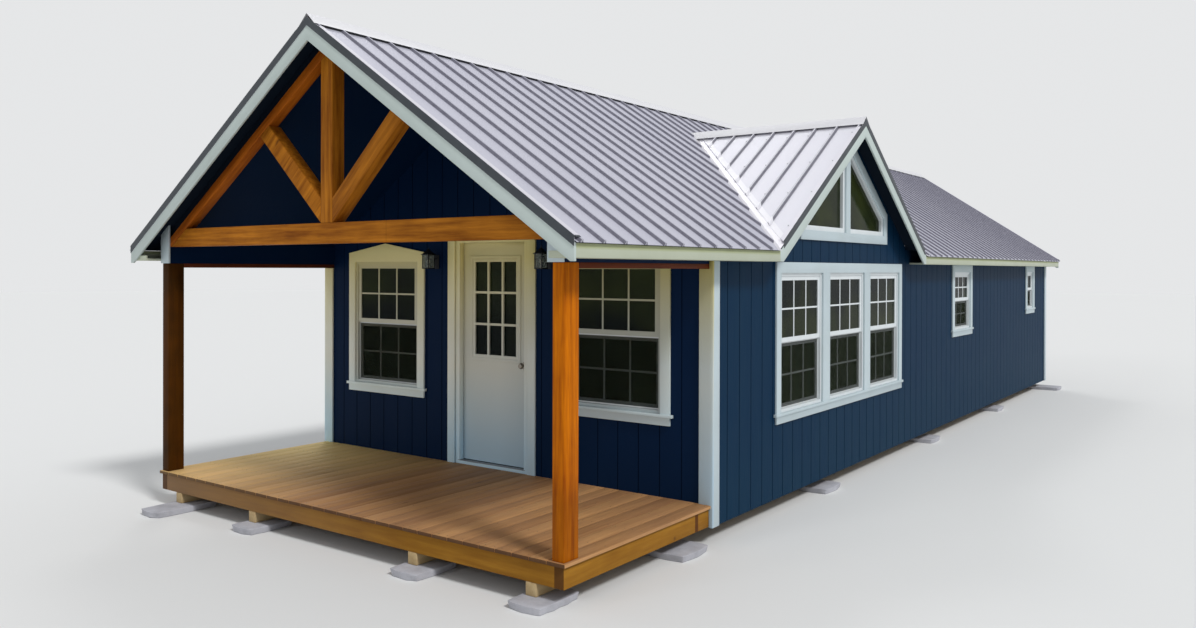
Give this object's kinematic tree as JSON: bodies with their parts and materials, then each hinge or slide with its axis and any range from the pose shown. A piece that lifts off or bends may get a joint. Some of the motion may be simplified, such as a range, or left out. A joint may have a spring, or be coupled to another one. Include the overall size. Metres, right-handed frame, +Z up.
{
  "type": "portable cabin on skids",
  "caption": "Long gabled cabin on timber skids and pads, with a trussed front porch, a cross gable with a ribbed metal roof, and one hinged front door.",
  "frame": {"origin": "on the ground under the middle of the whole object's box", "axes": "+X to the right as one faces the porch from outside, +Y from the porch to the back, +Z up"},
  "size_m": [5.232, 14.533, 4.0064],
  "materials": {
    "concrete": "rough cast concrete",
    "raw_timber": "sawn pine",
    "deck_wood": "sealed boards",
    "stained_timber": "oiled timber",
    "navy_paint": "satin painted siding",
    "white_paint": "satin painted boards",
    "cream_paint": "satin painted boards",
    "roof_metal": "coated ribbed steel",
    "dark_metal": "satin coated steel",
    "vinyl": "smooth white vinyl",
    "door_paint": "satin painted steel",
    "clear_glass": "clear pane",
    "nickel": "satin nickel",
    "lantern_black": "black lantern with clear panes"
  },
  "bodies": {
    "house": {"foundation_pads": "concrete", "skids": "raw_timber", "floor_rims": "raw_timber", "floor_joists": "raw_timber", "porch_rim": "deck_wood", "porch_deck": "deck_wood", "house_floor": "raw_timber", "porch_posts": "stained_timber", "porch_beams": "navy_paint", "porch_plates": "stained_timber", "porch_ceiling": "navy_paint", "truss_bottom_chord": "stained_timber", "truss_top_chord_left": "stained_timber", "truss_top_chord_right": "stained_timber", "truss_king_post": "stained_timber", "truss_webs": "stained_timber", "front_wall_left": "navy_paint", "front_wall_right": "navy_paint", "front_gable_wall": "navy_paint", "left_wall": "navy_paint", "right_wall": "navy_paint", "back_wall": "navy_paint", "dormer_gable_wall": "navy_paint", "rafters": "raw_timber", "ridge_boards": "raw_timber", "roof_sheathing": "raw_timber", "dormer_frames": "raw_timber", "roof_sheets": "roof_metal", "ridge_caps": "roof_metal", "valley_flashing": "roof_metal", "eave_fascias": "cream_paint", "rake_boards": "cream_paint", "rake_trims": "dark_metal", "corner_boards": "white_paint", "window_casings": "white_paint", "window_frames": "vinyl", "window_glass": "clear_glass", "door_frame": "white_paint", "door_casing": "white_paint", "frame_hinges": "nickel", "lanterns": "lantern_black"},
    "door": {"door_slab": "door_paint", "door_glass": "clear_glass", "door_knob": "nickel", "door_hinges": "nickel"}
  },
  "joints": [
    {"name": "door_hinge", "type": "hinge", "parent": "house", "child": "door", "pos_m": [-0.3945, -5.0115, 1.3], "axis": [0, 0, 1], "range_deg": [0, 100]}
  ]
}
